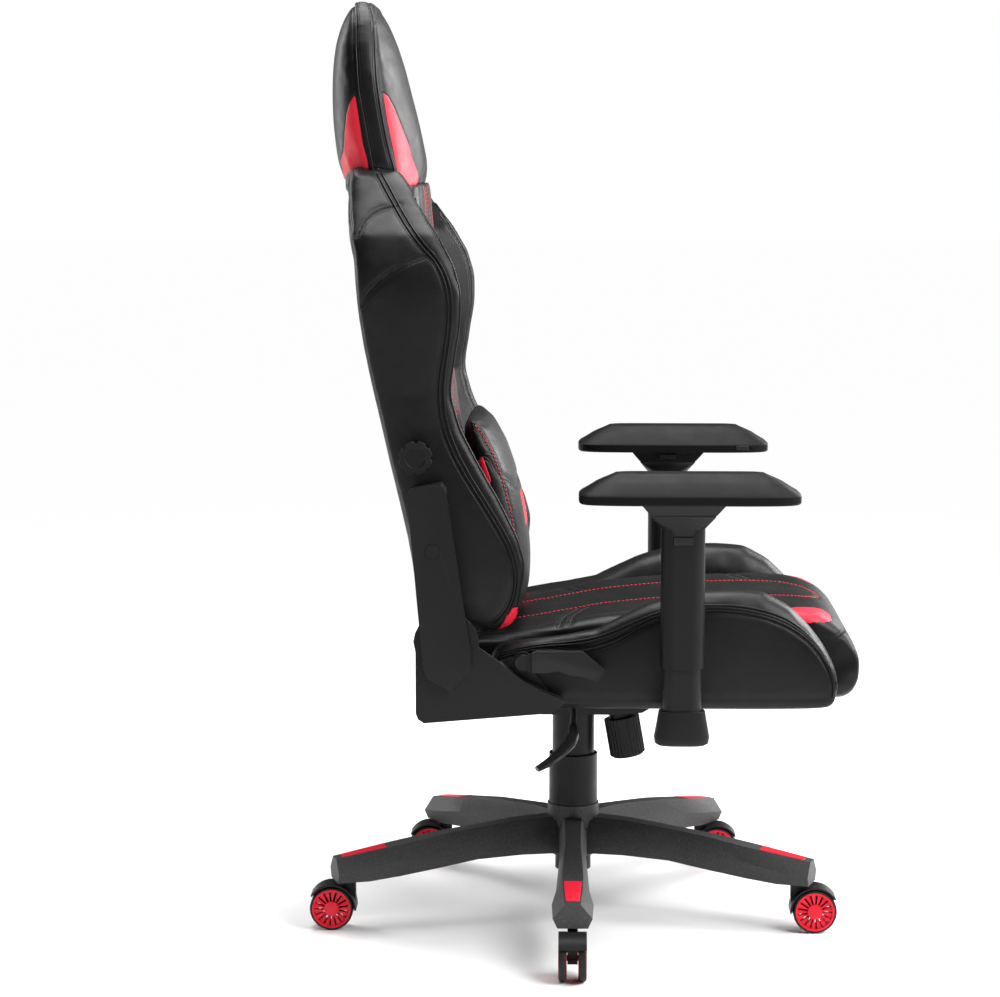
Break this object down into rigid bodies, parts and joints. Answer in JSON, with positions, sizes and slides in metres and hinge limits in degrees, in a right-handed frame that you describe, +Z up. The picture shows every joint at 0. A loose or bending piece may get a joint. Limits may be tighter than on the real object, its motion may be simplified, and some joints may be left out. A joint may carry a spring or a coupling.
{
  "type": "gaming chair",
  "caption": "Racing-style swivel chair: bolstered leather seat and reclining back, lumbar pillow, adjustable armrests, gas lift, rocking mechanism, star base on twin-wheel casters.",
  "frame": {"origin": "on the floor, where the gas spring's axis meets it", "axes": "+X towards the front of the seat, +Y to the sitter's left, +Z up"},
  "size_m": [0.7491, 0.749, 1.269],
  "materials": {
    "base_nylon": "matte",
    "red_plastic": "satin",
    "tyre": "matte",
    "black_plastic": "satin",
    "button_plastic": "satin",
    "arm_pad_pu": "matte",
    "black_steel": "satin",
    "steel": "satin",
    "webbing": "matte",
    "lining": "matte",
    "black_leather": "satin",
    "red_leather": "satin",
    "red_thread": "matte"
  },
  "bodies": {
    "base": {"star_base": "base_nylon", "leg_trims": "red_plastic", "column_tube": "black_steel", "dust_cover_lower": "black_plastic", "caster_stems": "steel"},
    "gas_spring_rod": {"gas_rod": "steel"},
    "dust_cover": {"dust_cover_middle": "black_plastic"},
    "mechanism": {"gas_cylinder": "black_steel", "dust_cover_upper": "black_plastic", "mechanism_housing": "black_steel"},
    "tension_knob": {"tension_knob": "black_plastic"},
    "lever_clip": {"lever_clip": "button_plastic"},
    "height_lever": {"height_lever": "black_plastic"},
    "seat": {"tilt_plate": "black_steel", "seat_frame": "black_steel", "seat_straps": "webbing", "seat_base_cover": "lining", "seat_cushion": "black_leather", "seat_bolsters": "black_leather", "side_covers": "black_plastic", "recliner_plates": "black_steel", "seat_fasteners": "steel", "arm_brackets": "black_steel"},
    "recline_lever": {"recline_lever": "black_plastic"},
    "back": {"back_frame": "black_steel", "back_pad": "black_leather", "back_rear_panel": "black_leather", "back_wing_left": "black_leather", "back_wing_right": "black_leather", "back_brackets": "black_steel", "bracket_covers": "black_plastic"},
    "lumbar_knob": {"lumbar_knob": "black_plastic"},
    "lumbar_pillow": {"lumbar_pillow": "black_leather"},
    "arm_left": {"arm_sleeve_left": "black_plastic"},
    "arm_height_button_left": {"arm_height_button_left": "button_plastic"},
    "arm_head_left": {"arm_head_left": "black_plastic"},
    "arm_head_button_left": {"arm_head_button_left": "button_plastic"},
    "arm_pad_left": {"arm_pad_left": "arm_pad_pu"},
    "arm_pad_button_left": {"arm_pad_button_left": "button_plastic"},
    "arm_right": {"arm_sleeve_right": "black_plastic"},
    "arm_height_button_right": {"arm_height_button_right": "button_plastic"},
    "arm_head_right": {"arm_head_right": "black_plastic"},
    "arm_head_button_right": {"arm_head_button_right": "button_plastic"},
    "arm_pad_right": {"arm_pad_right": "arm_pad_pu"},
    "arm_pad_button_right": {"arm_pad_button_right": "button_plastic"},
    "caster_1": {"caster_1_fork": "black_plastic"},
    "caster_1_wheels": {"caster_1_rims": "red_plastic", "caster_1_tyres": "tyre"},
    "caster_2": {"caster_2_fork": "black_plastic"},
    "caster_2_wheels": {"caster_2_rims": "red_plastic", "caster_2_tyres": "tyre"},
    "caster_3": {"caster_3_fork": "black_plastic"},
    "caster_3_wheels": {"caster_3_rims": "red_plastic", "caster_3_tyres": "tyre"},
    "caster_4": {"caster_4_fork": "black_plastic"},
    "caster_4_wheels": {"caster_4_rims": "red_plastic", "caster_4_tyres": "tyre"},
    "caster_5": {"caster_5_fork": "black_plastic"},
    "caster_5_wheels": {"caster_5_rims": "red_plastic", "caster_5_tyres": "tyre"}
  },
  "joints": [
    {"name": "chair_swivel", "type": "hinge", "parent": "base", "child": "gas_spring_rod", "pos_m": [0, 0, 0.2], "axis": [0, 0, 1], "continuous": true},
    {"name": "seat_height", "type": "slide", "parent": "gas_spring_rod", "child": "mechanism", "axis": [0, 0, 1], "range_m": [0, 0.09]},
    {"name": "dust_cover_slide", "type": "slide", "parent": "base", "child": "dust_cover", "axis": [0, 0, 1], "range_m": [0, 0.045]},
    {"name": "tension_knob_turn", "type": "hinge", "parent": "mechanism", "child": "tension_knob", "pos_m": [0.066, 0, 0.288], "axis": [-0.1736, 0, 0.9848], "range_deg": [-720, 720]},
    {"name": "lever_lift", "type": "hinge", "parent": "mechanism", "child": "lever_clip", "pos_m": [0, -0.06, 0.308], "axis": [-1, 0, 0], "range_deg": [0, 5], "stiffness_Nm_per_rad": 4, "springref_deg": -8.59},
    {"name": "lever_pull", "type": "slide", "parent": "lever_clip", "child": "height_lever", "axis": [0, -1, 0], "range_m": [0, 0.012]},
    {"name": "rocking", "type": "hinge", "parent": "mechanism", "child": "seat", "pos_m": [0.06, 0, 0.322], "axis": [0, -1, 0], "range_deg": [0, 12], "stiffness_Nm_per_rad": 220, "springref_deg": -22.92},
    {"name": "recline_lever_lift", "type": "hinge", "parent": "seat", "child": "recline_lever", "pos_m": [-0.066, -0.278, 0.405], "axis": [0, -1, 0], "range_deg": [0, 20], "stiffness_Nm_per_rad": 1.5, "springref_deg": -11.46},
    {"name": "recline", "type": "hinge", "parent": "seat", "child": "back", "pos_m": [-0.166, 0, 0.431], "axis": [0, -1, 0], "range_deg": [0, 55]},
    {"name": "lumbar_knob_turn", "type": "hinge", "parent": "back", "child": "lumbar_knob", "pos_m": [-0.206, -0.22, 0.673], "axis": [0, -1, 0], "range_deg": [-180, 180]},
    {"name": "pillow_slide", "type": "slide", "parent": "back", "child": "lumbar_pillow", "axis": [-0.11, 0, 0.9939], "range_m": [0, 0.06]},
    {"name": "arm_height_left", "type": "slide", "parent": "seat", "child": "arm_left", "axis": [0, 0, 1], "range_m": [-0.04, 0.03]},
    {"name": "arm_height_button_push_left", "type": "slide", "parent": "arm_left", "child": "arm_height_button_left", "axis": [0, -1, 0], "range_m": [0, 0.0015], "stiffness_N_per_m": 600, "springref_m": -0.001},
    {"name": "arm_turn_left", "type": "hinge", "parent": "arm_left", "child": "arm_head_left", "pos_m": [0.14, 0.322, 0.615], "axis": [0, 0, 1], "range_deg": [-20, 20]},
    {"name": "arm_head_button_push_left", "type": "slide", "parent": "arm_head_left", "child": "arm_head_button_left", "axis": [0, 1, 0], "range_m": [0, 0.0015], "stiffness_N_per_m": 600, "springref_m": -0.001},
    {"name": "arm_pad_slide_left", "type": "slide", "parent": "arm_head_left", "child": "arm_pad_left", "axis": [1, 0, 0], "range_m": [-0.03, 0.03]},
    {"name": "arm_pad_button_push_left", "type": "slide", "parent": "arm_pad_left", "child": "arm_pad_button_left", "axis": [0, 1, 0], "range_m": [0, 0.0015], "stiffness_N_per_m": 600, "springref_m": -0.001},
    {"name": "arm_height_right", "type": "slide", "parent": "seat", "child": "arm_right", "axis": [0, 0, 1], "range_m": [-0.04, 0.03]},
    {"name": "arm_height_button_push_right", "type": "slide", "parent": "arm_right", "child": "arm_height_button_right", "axis": [0, 1, 0], "range_m": [0, 0.0015], "stiffness_N_per_m": 600, "springref_m": -0.001},
    {"name": "arm_turn_right", "type": "hinge", "parent": "arm_right", "child": "arm_head_right", "pos_m": [0.14, -0.322, 0.615], "axis": [0, 0, 1], "range_deg": [-20, 20]},
    {"name": "arm_head_button_push_right", "type": "slide", "parent": "arm_head_right", "child": "arm_head_button_right", "axis": [0, -1, 0], "range_m": [0, 0.0015], "stiffness_N_per_m": 600, "springref_m": -0.001},
    {"name": "arm_pad_slide_right", "type": "slide", "parent": "arm_head_right", "child": "arm_pad_right", "axis": [1, 0, 0], "range_m": [-0.03, 0.03]},
    {"name": "arm_pad_button_push_right", "type": "slide", "parent": "arm_pad_right", "child": "arm_pad_button_right", "axis": [0, -1, 0], "range_m": [0, 0.0015], "stiffness_N_per_m": 600, "springref_m": -0.001},
    {"name": "caster_1_swivel", "type": "hinge", "parent": "base", "child": "caster_1", "pos_m": [0, -0.324, 0.055], "axis": [0, 0, 1], "continuous": true},
    {"name": "caster_1_roll", "type": "hinge", "parent": "caster_1", "child": "caster_1_wheels", "pos_m": [0, -0.349, 0.03], "axis": [1, 0, 0], "continuous": true},
    {"name": "caster_2_swivel", "type": "hinge", "parent": "base", "child": "caster_2", "pos_m": [0.30814, -0.10012, 0.055], "axis": [0, 0, 1], "continuous": true},
    {"name": "caster_2_roll", "type": "hinge", "parent": "caster_2", "child": "caster_2_wheels", "pos_m": [0.33314, -0.10012, 0.03], "axis": [0, 1, 0], "continuous": true},
    {"name": "caster_3_swivel", "type": "hinge", "parent": "base", "child": "caster_3", "pos_m": [0.19044, 0.26212, 0.055], "axis": [0, 0, 1], "continuous": true},
    {"name": "caster_3_roll", "type": "hinge", "parent": "caster_3", "child": "caster_3_wheels", "pos_m": [0.21544, 0.26212, 0.03], "axis": [0, 1, 0], "continuous": true},
    {"name": "caster_4_swivel", "type": "hinge", "parent": "base", "child": "caster_4", "pos_m": [-0.19044, 0.26212, 0.055], "axis": [0, 0, 1], "continuous": true},
    {"name": "caster_4_roll", "type": "hinge", "parent": "caster_4", "child": "caster_4_wheels", "pos_m": [-0.21544, 0.26212, 0.03], "axis": [0, -1, 0], "continuous": true},
    {"name": "caster_5_swivel", "type": "hinge", "parent": "base", "child": "caster_5", "pos_m": [-0.30814, -0.10012, 0.055], "axis": [0, 0, 1], "continuous": true},
    {"name": "caster_5_roll", "type": "hinge", "parent": "caster_5", "child": "caster_5_wheels", "pos_m": [-0.33314, -0.10012, 0.03], "axis": [0, -1, 0], "continuous": true}
  ],
  "couplings": [
    {"joint": "dust_cover_slide", "follows": "seat_height", "ratio": 0.5}
  ]
}
